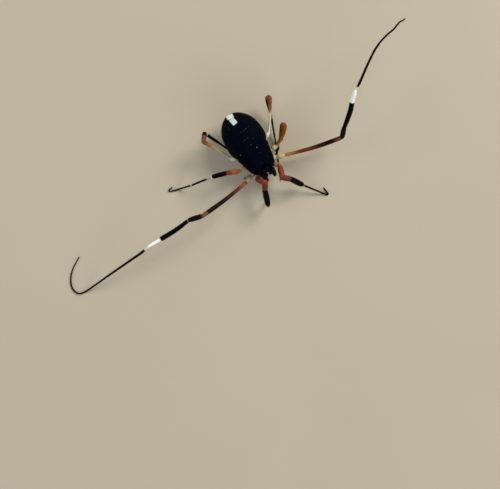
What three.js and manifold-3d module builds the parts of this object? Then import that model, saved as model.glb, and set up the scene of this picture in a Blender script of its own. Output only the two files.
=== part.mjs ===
// A short-bodied harvestman at life size, standing still, with its left feeler leg raised.
// Millimetres, +Z up, floor at z = 0. The animal faces -Y and its left side is +X.
import * as THREE from 'three';
import { mergeVertices } from 'three/addons/utils/BufferGeometryUtils.js';
import Module from 'manifold-3d';

const wasm = await Module();
wasm.setup();

// Driving dimensions
const GAP = 0.03;              // width of the cut between two neighbouring pieces
const THIN = 0.5;              // least thickness of a leg or feeler
const LEG_SIDES = 8;           // flat sides round a leg, with one of them facing down
const BODY_COLUMNS = 28;
const FOOT_AXIS = (THIN / 2) * Math.cos(Math.PI / LEG_SIDES);   // axis height of a foot that lies flat
const DOME = 1 / 3;            // share of a limb's thickness that its rounded end adds to its length
const DOME_SHOULDER = { reach: 0.66, width: 0.72 };   // the ring between a dome's foot and its top
const STATIONS_PER_STEP = 1.2; // rings along a limb for each step of its bend
const SHARPEST_BEND = 60;      // degrees, above which a limb is built as two that meet at the bend

// The trunk along Y: where each region starts and ends
const REAR_END = 3.65;
const WAIST = -0.5;
const FRONT_END = -3.34;

// Lines of the trunk as [y, value]: half width, height of the back, of the belly and of the widest level
const ABDOMEN = {
  halfWidth: [
    [WAIST, 1.84], [0, 2.06], [0.6, 2.12], [1.4, 2.05], [2.2, 1.85], [2.8, 1.49], [3.3, 0.98],
    [REAR_END, 0.34],
  ],
  back: [[WAIST, 3.84], [0.2, 4.12], [1, 4.2], [1.8, 4.08], [2.6, 3.7], [3.2, 3.16], [REAR_END, 2.5]],
  belly: [[WAIST, 1.3], [0.5, 1.25], [1.6, 1.36], [2.6, 1.62], [3.2, 1.9], [REAR_END, 2.2]],
  belt: [[WAIST, 2.3], [1.5, 2.35], [REAR_END, 2.35]],
};
const CARAPACE = {
  halfWidth: [
    [FRONT_END, 0.4], [-3.24, 0.6], [-3.06, 0.86], [-2.72, 1.24], [-2.25, 1.45], [-1.6, 1.6],
    [-1.2, 1.68], [WAIST, 1.73],
  ],
  back: [[FRONT_END, 2.52], [-3.05, 2.8], [-2.6, 2.98], [-1.8, 3.22], [-1.1, 3.5], [WAIST, 3.76]],
  belly: [[FRONT_END, 1.9], [-3, 1.62], [-2.2, 1.48], [-1.2, 1.42], [WAIST, 1.4]],
  belt: [[FRONT_END, 2.25], [-2.2, 2.25], [WAIST, 2.3]],
};
const LEAN = [[-0.9, -0.09], [1, 0]];   // the trunk's middle line as [y, x]: the front is a little askew
const BACK_FULLNESS = 2.15;    // superellipse power of the upper half of a cross-section
const BELLY_FULLNESS = 2.6;    // and of the lower half, which is flatter

const ABDOMEN_ROWS = 12;
const CARAPACE_ROWS = 9;

const OCULARIUM = { centre: [0, -2.93, 2.92], radii: [0.27, 0.31, 0.42], columns: 14, rows: 8 };
const EYE = { centre: [0.18, -2.97, 3.13], radii: [0.14, 0.14, 0.14], columns: 10, rows: 6 };

const CHELICERA = {
  points: [
    [0.27, -2.9, 1.9], [0.28, -3.2, 1.9], [0.28, -3.42, 1.7], [0.28, -3.5, 1.36], [0.27, -3.5, 0.98],
  ],
  thickness: [THIN, 0.54, THIN],
};
const PEDIPALP = {
  points: [
    [0.62, -2.84, 2.2], [0.62, -3.24, 2.54], [0.54, -3.62, 2.56], [0.46, -3.9, 2.28], [0.44, -4.0, 1.84],
  ],
  thickness: [0.52, 0.56, THIN],
};

// Leg pairs from the front: the coxa's two ends on the left side, then each segment's length and
// its thickness at the base, the middle and the tip
const SEGMENTS = ['femur', 'patella', 'tibia', 'metatarsus', 'tarsus'];
const LEG_PAIRS = [
  {
    coxa: { root: [0.45, -2.72, 1.3], tip: [1.36, -3.28, 1.6], thickness: [0.52, 0.6, 0.56] },
    length: { femur: 1.65, patella: 0.88, tibia: 1.7, metatarsus: 1.5, tarsus: 2.5 },
    thickness: { femur: [THIN, 0.64, 0.6], patella: [0.58, 0.62, 0.58], tibia: [0.6, 0.66, 0.52] },
  },
  {
    coxa: { root: [0.5, -2.12, 1.25], tip: [2.35, -2.88, 1.6], thickness: [0.52, 0.64, 0.56] },
    length: { femur: 6.05, patella: 1.5, tibia: 4.85, metatarsus: 5.7, tarsus: 7.7 },
    thickness: { femur: [THIN, THIN, 0.52], patella: [THIN, 0.56, THIN], tibia: [THIN, 0.54, THIN] },
  },
  {
    coxa: { root: [0.5, -1.53, 1.25], tip: [2.22, -1.66, 1.6], thickness: [0.52, 0.62, 0.56] },
    length: { femur: 2.45, patella: 0.85, tibia: 1.9, metatarsus: 2.5, tarsus: 3.5 },
    thickness: { femur: [THIN, 0.52, 0.6], patella: [0.58, 0.56, THIN], tibia: [THIN, THIN, THIN] },
  },
  {
    coxa: { root: [0.55, -0.92, 1.25], tip: [2.3, -0.1, 1.6], thickness: [0.52, 0.62, 0.56] },
    length: { femur: 3.7, patella: 0.95, tibia: 2.4, metatarsus: 3, tarsus: 3.4 },
    thickness: { femur: [THIN, THIN, 0.56], patella: [0.56, 0.56, THIN], tibia: [THIN, THIN, THIN] },
  },
];
const THIN_SEGMENT = [THIN, THIN, THIN];

// The stance: each segment is one or more equal steps, a step being [heading, lift] in degrees.
// Heading turns from +X towards +Y, and lift rises above the level.
const STANCE = {
  left: [
    {
      femur: [[-111, 29]], patella: [[-44, -20]], tibia: [[-60, -38]], metatarsus: [[-57, -21]],
      tarsus: [[-56.5, -22], [-56, -22], [-57, -10], [87, 0], [87, 0]],
    },
    {
      femur: [[-21, 10], [-16, 12]], patella: [[45, 53]], tibia: [[35, 42], [38, 43], [46, 43], [39, 42]],
      metatarsus: [[26, 32], [32, 32], [32, 31], [30, 29], [28, 26], [21, 22]],
      tarsus: [[11, 8], [6, -26], [16, -50], [16, -62], [8, -68], [1, -71], [10, -74], [16, -76]],
    },
    {
      femur: [[28, 29.5], [40.5, 29.5]], patella: [[118, -74]], tibia: [[-130, -35]],
      metatarsus: [[-144, -6]],
      tarsus: [[178, -38], [176, -38], [172, 0], [168, 0], [165, 0]],
    },
    {
      femur: [[49.5, 23], [57, 22]], patella: [[122, -75]], tibia: [[-113, -30]],
      metatarsus: [[-115, -16]],
      tarsus: [[-118, 0], [-118, 0], [-117, 0], [-117, 0], [-117, 0]],
    },
  ],
  right: [
    {
      femur: [[-60, 57]], patella: [[-127, -36]], tibia: [[-113, -18]], metatarsus: [[60, -72]],
      tarsus: [[60, -45], [66, -22], [68, 0], [70, 0], [72, 0]],
    },
    {
      femur: [[-175, 24], [-179, 22]], patella: [[162, -12]], tibia: [[-178, -8], [176, -8], [175, -8]],
      metatarsus: [[-174, -18], [179, -18], [179, -18], [179, -18], [179, -18], [179, -18]],
      tarsus: [
        [180, -26], [179, -26], [178, -24], [178, -18], [161, -8], [109, 0],
        [72, 0], [54, 0], [40, 0], [30, 0], [24, 0],
      ],
    },
    {
      femur: [[157, 72]], patella: [[151, -46]], tibia: [[158, -32]], metatarsus: [[166, -28]],
      tarsus: [[159, -42], [160, -36], [160.5, -12], [159, -6], [15, -14]],
    },
    {
      femur: [[112, 30], [115.5, 30]], patella: [[47, -23]], tibia: [[-68, -36]],
      metatarsus: [[-70, -25]],
      tarsus: [[-30, -22], [20, -8], [60, 0], [85, 0], [95, 0]],
    },
  ],
};

const FINISH = {
  black: new THREE.MeshStandardMaterial({ color: 0x10131c, roughness: 0.6, metalness: 0 }),
  orange: new THREE.MeshStandardMaterial({ color: 0x9c4a1e, roughness: 0.45, metalness: 0 }),
  cream: new THREE.MeshStandardMaterial({ color: 0xd8b987, roughness: 0.5, metalness: 0 }),
  eye: new THREE.MeshStandardMaterial({ color: 0x050505, roughness: 0.1, metalness: 0 }),
};
const SEGMENT_FINISH = {
  femur: FINISH.orange,
  patella: FINISH.orange,
  tibia: FINISH.black,
  metatarsus: FINISH.black,
  tarsus: FINISH.black,
};

// Value at `where` of a line given as [place, value] pairs, eased smoothly from each pair to the next
function valueAt(line, where) {
  if (where <= line[0][0]) return line[0][1];
  for (let i = 1; i < line.length; i++) {
    const [fromPlace, fromValue] = line[i - 1];
    const [toPlace, toValue] = line[i];
    if (where > toPlace) continue;
    const before = i > 1 ? line[i - 2] : line[i - 1];
    const after = i + 1 < line.length ? line[i + 1] : line[i];
    const span = toPlace - fromPlace;
    const startSlope = (toValue - before[1]) / (toPlace - before[0]);
    const endSlope = (after[1] - fromValue) / (after[0] - fromPlace);
    const t = (where - fromPlace) / span;
    return (2 * t ** 3 - 3 * t ** 2 + 1) * fromValue + (t ** 3 - 2 * t ** 2 + t) * span * startSlope
      + (3 * t ** 2 - 2 * t ** 3) * toValue + (t ** 3 - t ** 2) * span * endSlope;
  }
  return line[line.length - 1][1];
}

// A closed surface: a sphere's grid, each point of it moved to place(angle, row)
function closedSurface(columns, rows, place) {
  const geometry = new THREE.SphereGeometry(1, columns, rows);
  const { position, uv } = geometry.attributes;
  for (let i = 0; i < uv.count; i++) {
    const angle = 2 * Math.PI * uv.getX(i);
    const row = Math.round((1 - uv.getY(i)) * rows);
    const point = place(angle, row);
    position.setXYZ(i, point.x, point.y, Math.max(point.z, 0));
  }
  geometry.deleteAttribute('normal');
  geometry.deleteAttribute('uv');
  return mergeVertices(geometry);
}

function toManifold(geometry) {
  return new wasm.Manifold(new wasm.Mesh({
    numProp: 3,
    vertProperties: Float32Array.from(geometry.attributes.position.array),
    triVerts: Uint32Array.from(geometry.index.array),
  }));
}

function toGeometry(solid) {
  const mesh = solid.getMesh();
  const geometry = new THREE.BufferGeometry();
  geometry.setAttribute('position', new THREE.BufferAttribute(mesh.vertProperties, 3));
  geometry.setIndex(new THREE.BufferAttribute(mesh.triVerts, 1));
  geometry.computeVertexNormals();
  return geometry;
}

// One region of the trunk between two places on Y: flat where it is parted, round where it ends freely
function trunkRegion(lines, from, to, rowsBetween, grow = 0) {
  const rows = rowsBetween + 2;
  const middle = (y) => (valueAt(lines.back, y) + valueAt(lines.belly, y)) / 2;
  return toManifold(closedSurface(BODY_COLUMNS, rows, (angle, row) => {
    const share = THREE.MathUtils.clamp((row - 1) / rowsBetween, 0, 1);
    const eased = (1 - Math.cos(Math.PI * share)) / 2;
    const y = from + (to - from) * eased;
    const reach = to > from ? 1 : -1;
    if (row === 0) return new THREE.Vector3(valueAt(LEAN, from), from - reach * grow, middle(from));
    if (row === rows) return new THREE.Vector3(valueAt(LEAN, to), to + reach * grow, middle(to));
    const belt = valueAt(lines.belt, y);
    const height = Math.sin(angle) >= 0 ? valueAt(lines.back, y) - belt : belt - valueAt(lines.belly, y);
    const power = 2 / (Math.sin(angle) >= 0 ? BACK_FULLNESS : BELLY_FULLNESS);
    const across = Math.sign(Math.cos(angle)) * Math.abs(Math.cos(angle)) ** power;
    const up = Math.sign(Math.sin(angle)) * Math.abs(Math.sin(angle)) ** power;
    const end = row === 1 ? -reach * grow : row === rows - 1 ? reach * grow : 0;
    return new THREE.Vector3(
      valueAt(LEAN, y) + reach * across * (valueAt(lines.halfWidth, y) + grow),
      y + end,
      belt + up * (height + grow));
  }));
}

// A round limb along a curve, with a blunt cone at its base and a dome at its tip;
// `thickness` is [base, middle, tip]
function limb(points, thickness, { grow = 0, stepsBetween = 2 } = {}) {
  const vectors = points.map((point) => new THREE.Vector3(...point));
  const curve = vectors.length > 2
    ? new THREE.CatmullRomCurve3(vectors, false, 'centripetal')
    : new THREE.LineCurve3(vectors[0], vectors[1]);
  const length = curve.getLength();
  const line = [[0, thickness[0] / 2], [0.5, thickness[1] / 2], [1, thickness[2] / 2]];
  const dome = DOME * thickness[0] / 2;

  // Each ring is [distance along the limb, share of the full radius]
  const rings = [[-dome, 0]];
  for (let i = 0; i <= stepsBetween; i++) rings.push([(length * i) / stepsBetween, 1]);
  rings.push([length + DOME_SHOULDER.reach * dome, DOME_SHOULDER.width], [length + dome, 0]);
  const up = new THREE.Vector3(0, 0, 1);
  return toManifold(closedSurface(LEG_SIDES, rings.length - 1, (angle, row) => {
    const [distance, share] = rings[row];
    const along = THREE.MathUtils.clamp(distance / length, 0, 1);
    const centre = curve.getPointAt(along);
    const tangent = curve.getTangentAt(along);
    const across = new THREE.Vector3().crossVectors(tangent, up).normalize();
    const lift = new THREE.Vector3().crossVectors(across, tangent);
    const overrun = distance - along * length;
    const radius = (valueAt(line, along) + grow) * share;
    const turned = angle + Math.PI / LEG_SIDES + Math.PI / 2;
    centre.z = Math.max(centre.z, FOOT_AXIS);
    return centre
      .addScaledVector(tangent, overrun + Math.sign(overrun) * grow)
      .addScaledVector(across, radius * Math.cos(turned))
      .addScaledVector(lift, radius * Math.sin(turned));
  }));
}

// The direction, as a unit vector, from one point of a list to the next
function directionAt(points, i) {
  return new THREE.Vector3(...points[i + 1]).sub(new THREE.Vector3(...points[i])).normalize();
}

// A limb of even thickness through any points, parted where it turns back sharply
function bentLimb(points, thickness, options) {
  let run = points.slice(0, 2);
  const runs = [run];
  for (let i = 1; i < points.length - 1; i++) {
    const bend = THREE.MathUtils.radToDeg(directionAt(points, i - 1).angleTo(directionAt(points, i)));
    if (bend > SHARPEST_BEND) {
      run = [points[i]];
      runs.push(run);
    }
    run.push(points[i + 1]);
  }
  return runs
    .map((part) => limb(part, thickness, {
      ...options, stepsBetween: Math.max(2, Math.ceil(STATIONS_PER_STEP * (part.length - 1))),
    }))
    .reduce((whole, part) => whole.add(part));
}

function ellipsoid(centre, { radii, columns, rows }, grow = 0) {
  return toManifold(closedSurface(columns, rows, (angle, row) => {
    const latitude = (Math.PI * row) / rows;
    return new THREE.Vector3(
      centre[0] + (radii[0] + grow) * Math.sin(latitude) * Math.cos(angle),
      centre[1] + (radii[1] + grow) * Math.sin(latitude) * Math.sin(angle),
      centre[2] + (radii[2] + grow) * Math.cos(latitude));
  }));
}

const harvestman = new THREE.Group();

function addPiece(name, solid, material) {
  const mesh = new THREE.Mesh(toGeometry(solid), material);
  mesh.name = name;
  harvestman.add(mesh);
}

// The trunk: abdomen and carapace, parted by a thin cut at the waist
const abdomen = (grow) => trunkRegion(ABDOMEN, WAIST, REAR_END, ABDOMEN_ROWS, grow);
const carapace = (grow) => trunkRegion(CARAPACE, WAIST - GAP, FRONT_END, CARAPACE_ROWS, grow);
addPiece('opisthosoma', abdomen(0), FINISH.black);
addPiece('prosoma', carapace(0), FINISH.black);
const trunkWithGap = carapace(GAP).add(abdomen(GAP));

// The eye tubercle near the front edge, with one eye on each side
const mirrored = ([x, y, z], side) => [side === 'left' ? x : -x, y, z];
const onHead = (point, side) => {
  const [x, y, z] = mirrored(point, side);
  return [x + valueAt(LEAN, FRONT_END), y, z];
};
const ocularium = (grow) => ellipsoid(onHead(OCULARIUM.centre, 'left'), OCULARIUM, grow);
addPiece('ocularium', ocularium(0).subtract(trunkWithGap), FINISH.black);

// Mouthparts and eyes of one side
function addHead(side) {
  const cheliceraPoints = CHELICERA.points.map((point) => onHead(point, side));
  const pedipalpPoints = PEDIPALP.points.map((point) => onHead(point, side));
  const chelicera = (grow) => limb(cheliceraPoints, CHELICERA.thickness, { grow, stepsBetween: 4 });
  const pedipalp = limb(pedipalpPoints, PEDIPALP.thickness, { stepsBetween: 6 });
  addPiece(`chelicera_${side}`, chelicera(0).subtract(trunkWithGap), FINISH.black);
  addPiece(`pedipalp_${side}`, pedipalp.subtract(trunkWithGap).subtract(chelicera(GAP)), FINISH.black);
  const eye = ellipsoid(onHead(EYE.centre, side), EYE);
  addPiece(`eye_${side}`, eye.subtract(ocularium(GAP)).subtract(trunkWithGap), FINISH.eye);
}

// Points of a segment that starts at `start` and takes its steps of the stance
function segmentPoints(start, length, steps) {
  const points = [start];
  for (const [heading, lift] of steps) {
    const turn = THREE.MathUtils.degToRad(heading);
    const rise = THREE.MathUtils.degToRad(lift);
    const stride = length / steps.length;
    const [x, y, z] = points[points.length - 1];
    points.push([
      x + stride * Math.cos(rise) * Math.cos(turn),
      y + stride * Math.cos(rise) * Math.sin(turn),
      Math.max(z + stride * Math.sin(rise), FOOT_AXIS),
    ]);
  }
  return points;
}

// One leg: the coxa under the trunk, then the five free segments, each cut clear of the one before
function addLeg(side, pair) {
  const { coxa, length, thickness } = LEG_PAIRS[pair];
  const prefix = `leg_${pair + 1}_${side}`;
  const coxaPoints = [mirrored(coxa.root, side), mirrored(coxa.tip, side)];
  addPiece(`${prefix}_coxa`, limb(coxaPoints, coxa.thickness).subtract(trunkWithGap), FINISH.cream);
  let carver = limb(coxaPoints, coxa.thickness, { grow: GAP });
  let start = coxaPoints[1];
  for (const segment of SEGMENTS) {
    const points = segmentPoints(start, length[segment], STANCE[side][pair][segment]);
    const widths = thickness[segment] ?? THIN_SEGMENT;
    addPiece(`${prefix}_${segment}`, bentLimb(points, widths).subtract(carver), SEGMENT_FINISH[segment]);
    carver = bentLimb(points, widths, { grow: GAP });
    start = points[points.length - 1];
  }
}

for (const side of ['left', 'right']) {
  addHead(side);
  for (let pair = 0; pair < LEG_PAIRS.length; pair++) addLeg(side, pair);
}

// The origin is on the floor, under the middle of the whole animal
const reach = new THREE.Box3().setFromObject(harvestman);
const middle = reach.getCenter(new THREE.Vector3());
harvestman.position.set(-middle.x, -middle.y, -reach.min.z);
harvestman.updateMatrixWorld(true);

export default harvestman;
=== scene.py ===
"""A short-bodied harvestman at life size, resting on a pale floor and seen from straight above.

Sizes are in millimetres of the animal's own frame: it faces -Y, its left side is +X, and the floor
is z = 0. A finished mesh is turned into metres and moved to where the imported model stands.
"""
import math
import random

import bmesh
import bpy
from mathutils import Matrix, Vector, noise


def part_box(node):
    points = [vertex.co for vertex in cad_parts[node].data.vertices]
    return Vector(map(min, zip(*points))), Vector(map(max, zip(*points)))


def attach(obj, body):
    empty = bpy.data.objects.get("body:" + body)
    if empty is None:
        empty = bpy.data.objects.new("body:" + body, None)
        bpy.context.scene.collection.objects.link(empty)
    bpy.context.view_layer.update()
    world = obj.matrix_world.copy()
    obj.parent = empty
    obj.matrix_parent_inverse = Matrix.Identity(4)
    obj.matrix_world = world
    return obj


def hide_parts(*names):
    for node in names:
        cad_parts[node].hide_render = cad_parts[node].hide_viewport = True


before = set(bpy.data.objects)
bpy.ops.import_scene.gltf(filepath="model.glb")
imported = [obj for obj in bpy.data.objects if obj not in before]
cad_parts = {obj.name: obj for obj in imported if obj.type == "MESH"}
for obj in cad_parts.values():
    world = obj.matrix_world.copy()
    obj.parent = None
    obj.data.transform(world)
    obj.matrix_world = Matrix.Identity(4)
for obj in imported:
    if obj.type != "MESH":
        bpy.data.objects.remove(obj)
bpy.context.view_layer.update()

MM = 0.001
UP = Vector((0, 0, 1))
REARWARDS = Vector((0, 1, 0))
SIDES = ("left", "right")

# The trunk along Y
REAR_END = 3.65
WAIST = -0.5
FRONT_END = -3.34
INSET = 0.03                     # how far the skin is drawn in from the lines below
SEAM = WAIST - 0.1               # where the skins of abdomen and shield cross

# Lines of the trunk as (y, value): half width, belt (the level of the widest line), and from there
# the rise of the back and the drop of the belly. All but the belt fall to 0 where the form closes.
ABDOMEN_FRONT = -0.86
ABDOMEN = {
    "half_width": (
        (ABDOMEN_FRONT, 0), (-0.74, 1.5), (WAIST, 1.83), (0, 2.06), (0.6, 2.12), (1.4, 2.05),
        (2.2, 1.85), (2.8, 1.49), (3.3, 0.98), (REAR_END, 0),
    ),
    "belt": ((WAIST, 2.3), (1.5, 2.35), (REAR_END, 2.35)),
    "rise": (
        (ABDOMEN_FRONT, 0), (-0.74, 1.26), (WAIST, 1.54), (0.2, 1.81), (1, 1.86), (1.8, 1.73),
        (2.6, 1.35), (3.2, 0.81), (REAR_END, 0),
    ),
    "drop": (
        (ABDOMEN_FRONT, 0), (-0.7, 0.85), (WAIST, 1), (0.5, 1.07), (1.6, 0.99), (2.6, 0.73),
        (3.2, 0.45), (REAR_END, 0),
    ),
}
CARAPACE_REAR = -0.3
CARAPACE = {
    "half_width": (
        (FRONT_END, 0), (-3.24, 0.58), (-3.06, 0.86), (-2.72, 1.24), (-2.25, 1.45), (-1.6, 1.6),
        (-1.2, 1.68), (WAIST, 1.72), (CARAPACE_REAR, 0),
    ),
    "belt": ((FRONT_END, 2.25), (-2.2, 2.25), (WAIST, 2.3)),
    "rise": (
        (FRONT_END, 0), (-3.05, 0.55), (-2.6, 0.73), (-1.8, 0.97), (-1.1, 1.23), (WAIST, 1.44),
        (CARAPACE_REAR, 0),
    ),
    "drop": (
        (FRONT_END, 0), (-3, 0.6), (-2.2, 0.77), (-1.2, 0.87), (WAIST, 0.9), (CARAPACE_REAR, 0),
    ),
}
LEAN = ((-0.9, -0.09), (1, 0))   # the trunk's middle line as (y, x): the front is a little askew
BACK_FULLNESS = 2.15             # superellipse power of the upper half of a cross-section
BELLY_FULLNESS = 2.6

# Creases across the trunk. The bearing of a point on a cross-section is 0 on the widest line, 1 at
# the top and -1 below: the sine of its angle.
TERGITE_BORDERS = (0.2, 1.0, 1.75, 2.37, 2.98, 3.42)
STERNITE_BORDERS = (0.35, 0.95, 1.5, 2.0, 2.45, 2.85, 3.2)
CARAPACE_BORDERS = (-0.72, -1.12)
CREASE_DEPTH = 0.025
CREASE_WIDTH = 0.045
CREASE_FADE = 0.25               # change of bearing over which the creases of the back come in
BELLY_BEARING = -0.15            # where the plates of the back end and those of the belly begin

# Relief of the shield, and the unevenness of all the trunk as (height, waves to a millimetre)
CARAPACE_CREASE = 0.7            # depth of the shield's creases, as a share of the others'
RIM = {"height": 0.03, "bearing": 0.02, "width": 0.07}
FURROW = {"depth": 0.04, "bearing": 0.5, "width": 0.12, "y": -2.2, "length": 0.7}
GRAIN = ((0.014, 1.7), (0.007, 5))

# Where the trunk turns brown: along the shield's edge, and on the belly
BROWN_EDGE = {"strength": 0.5, "width": 0.14}
BROWN_BELLY = {"bearing": -0.1, "fade": 0.3}

# The plate on the underside: where it runs on Y, half width along it and at most, how far it stands
# out of the skin and how deep it is rooted
GENITAL_PLATE = {
    "reach": (-2.5, 0.1),
    "half_width": ((-2.5, 0), (-2.3, 0.22), (-1.6, 0.3), (-0.9, 0.4), (-0.3, 0.44), (0.1, 0)),
    "widest": 0.44,
    "rise": 0.027,
    "root": 0.05,
}

# Fine knobs in loose rows across the back: y of the row, half the width it covers
KNOB_ROWS = (
    (2.2, 1.3), (1.42, 1.6), (0.56, 1.75), (-0.2, 1.7), (-0.92, 1.45), (-1.45, 1.2), (-2.1, 1.0),
)
KNOB_SPACING = 0.3
KNOB_STRAY = (0.08, 0.12)        # how far a knob may lie from its place, on X and on Y
KNOB_RADIUS = 0.028
KNOB_SIZES = (0.6, 1.1)          # the smallest and the largest dark knob, in radii
PALE_KNOB_SIZES = (0.8, 1.3)     # the darkest and the palest of the pale knobs, in radii
KNOB_HEIGHT = 1.2                # in half widths of the knob
FULL_PALENESS = 0.9              # share of haze in the tint of the palest knob

# The few knobs that are pale: place (x, y) and how pale, from 0 to 1
PALE_KNOBS = (
    (-0.85, 2.36, 0.35), (-0.69, 2.96, 0.2), (0.95, 2.07, 0.2), (-0.36, 1.4, 0.2),
    (-0.06, 1.42, 0.4), (0.27, 1.39, 0.45), (0.56, 1.44, 0.6), (0.98, 1.44, 0.35),
    (-0.31, 0.53, 0.25), (-0.12, 0.56, 0.35), (0.25, 0.57, 0.35), (0.63, 0.21, 0.3),
    (0.1, -0.18, 0.4), (0.42, -0.72, 1), (0.63, -0.5, 0.25), (0.42, -1.33, 0.3),
    (-0.06, -2.23, 0.25), (-1.36, -0.41, 0.9), (0.83, -2.04, 0.45),
)
SEED = 7

# Bristles of the trunk: the stretches of Y that bear them, and how far below the widest line they
# go, in radians. Each points away from the trunk's middle, with its parts along and up weighted.
TRUNK_COAT = ((ABDOMEN, WAIST + 0.05, 3.4), (CARAPACE, -3.1, SEAM))
TRUNK_COAT_EDGE = 0.35
TRUNK_BRISTLES = 26              # to a square millimetre
TRUNK_BRISTLE_LENGTHS = (0.05, 0.09)
MIDDLE_LEVEL = 2.3
OUT_ALONG = 0.35
OUT_UP = 1.4

OCULARIUM = {"centre": (0, -2.93, 2.9), "radii": (0.25, 0.29, 0.4)}
OCULARIUM_FURROW = {"depth": 0.06, "width": 0.05}

# The teeth each side of its furrow: degrees from the top towards front and rear, distance from the
# middle, and their place as shares of the mound's depth and height
TOOTH_TURNS = (-50, -25, 0, 25, 50)
TOOTH_ASIDE = 0.09
TOOTH_PLACE = (0.85, 0.92)
TOOTH_RADII = (0.018, 0.018, 0.035)

EYE_CENTRE = (0.18, -2.97, 3.13)
EYE_RADIUS = 0.125

# Legs, from the front pair: the two points between which coxa and trochanter run on the left side,
# the trochanter's part of that, and the length of each free segment
SEGMENTS = ("femur", "patella", "tibia", "metatarsus", "tarsus")
COXA_ENDS = (
    ((0.45, -2.72, 1.3), (1.36, -3.28, 1.6)),
    ((0.5, -2.12, 1.25), (2.35, -2.88, 1.6)),
    ((0.5, -1.53, 1.25), (2.22, -1.66, 1.6)),
    ((0.55, -0.92, 1.25), (2.3, -0.1, 1.6)),
)
TROCHANTER_LENGTHS = (0.62, 0.84, 0.62, 0.62)
LENGTHS = (
    {"femur": 1.65, "patella": 0.88, "tibia": 1.7, "metatarsus": 1.5, "tarsus": 2.5},
    {"femur": 6.05, "patella": 1.5, "tibia": 4.85, "metatarsus": 5.7, "tarsus": 7.7},
    {"femur": 2.45, "patella": 0.85, "tibia": 1.9, "metatarsus": 2.5, "tarsus": 3.5},
    {"femur": 3.7, "patella": 0.95, "tibia": 2.4, "metatarsus": 3, "tarsus": 3.4},
)
FOOT_LEVEL = 0.08                # height of a foot's middle line where it lies on the floor

# The hook that a foot ends in where its line has a sharp corner
HOOK_ANGLE = 120                 # a corner is sharp if its arms are fewer degrees apart
HOOK_RUN_IN = 0.25               # how far before the corner the bend begins
HOOK_SETBACK = 0.2               # how far before the corner the two ends of the bend lie
HOOK_WIDTH = 0.2                 # how far apart these ends are
HOOK_BULGE = 0.4                 # how far the bend goes beyond its ends, in widths
HOOK_ARM = (0, 0.15, 0.5, 1)     # shares of the last arm at which it has points
HOOK_REACH = 0.88                # share of the last arm that is kept

# Claws as shares of their size: the middle line as (ahead, below) from a limb's tip, and the
# thickness along it
CLAW_SIZE = 0.11
PALP_CLAW_SIZE = 0.1
CLAW_LINE = ((-0.3, 0), (0.45, 0), (0.85, 0.12), (1, 0.4))
CLAW_THICKNESS = ((0, 0.4), (0.4, 0.3), (1, 0.06))
CLAW_LEVEL = 0.02                # lowest height of the middle line

# Thickness along each segment, as (share of its length, diameter)
COXA_THICKNESS = ((0, 0.48), (0.4, 0.58), (0.8, 0.48), (1, 0.36))
TROCHANTER_THICKNESS = ((0, 0.34), (0.2, 0.47), (0.45, 0.53), (0.75, 0.45), (1, 0.3))
THICKNESS = (
    {
        "femur": ((0, 0.44), (0.12, 0.48), (0.4, 0.57), (0.8, 0.59), (1, 0.55)),
        "patella": ((0, 0.54), (0.3, 0.58), (0.75, 0.57), (1, 0.5)),
        "tibia": ((0, 0.54), (0.1, 0.56), (0.5, 0.59), (0.8, 0.53), (0.93, 0.46), (1, 0.34)),
        "metatarsus": ((0, 0.24), (0.08, 0.27), (0.2, 0.22), (1, 0.2)),
        "tarsus": ((0, 0.2), (0.6, 0.175), (1, 0.12)),
    },
    {
        "femur": (
            (0, 0.3), (0.06, 0.35), (0.2, 0.36), (0.4, 0.39), (0.6, 0.43), (0.75, 0.45),
            (0.88, 0.45), (0.95, 0.44), (1, 0.37),
        ),
        "patella": ((0, 0.4), (0.15, 0.49), (0.45, 0.54), (0.85, 0.48), (1, 0.38)),
        "tibia": (
            (0, 0.4), (0.06, 0.43), (0.25, 0.49), (0.5, 0.51), (0.705, 0.48), (0.9, 0.44),
            (0.96, 0.36), (1, 0.26),
        ),
        "metatarsus": ((0, 0.17), (0.08, 0.17), (0.1, 0.26), (0.3, 0.26), (1, 0.21)),
        "tarsus": ((0, 0.21), (0.4, 0.18), (1, 0.11)),
    },
    {
        "femur": (
            (0, 0.26), (0.1, 0.3), (0.25, 0.38), (0.45, 0.46), (0.65, 0.52), (0.85, 0.56),
            (1, 0.48),
        ),
        "patella": ((0, 0.42), (0.35, 0.53), (0.8, 0.5), (1, 0.4)),
        "tibia": ((0, 0.4), (0.05, 0.44), (0.85, 0.43), (0.95, 0.38), (1, 0.3)),
        "metatarsus": ((0, 0.21), (0.12, 0.23), (0.22, 0.22), (1, 0.2)),
        "tarsus": ((0, 0.2), (0.5, 0.175), (1, 0.12)),
    },
    {
        "femur": (
            (0, 0.24), (0.06, 0.21), (0.3, 0.22), (0.5, 0.25), (0.66, 0.3), (0.8, 0.35),
            (0.9, 0.41), (0.97, 0.48), (1, 0.44),
        ),
        "patella": ((0, 0.42), (0.35, 0.5), (0.8, 0.46), (1, 0.36)),
        "tibia": ((0, 0.28), (0.1, 0.34), (0.5, 0.3), (0.9, 0.25), (1, 0.2)),
        "metatarsus": ((0, 0.2), (0.05, 0.23), (0.16, 0.19), (1, 0.16)),
        "tarsus": ((0, 0.16), (0.5, 0.14), (1, 0.09)),
    },
)

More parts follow.
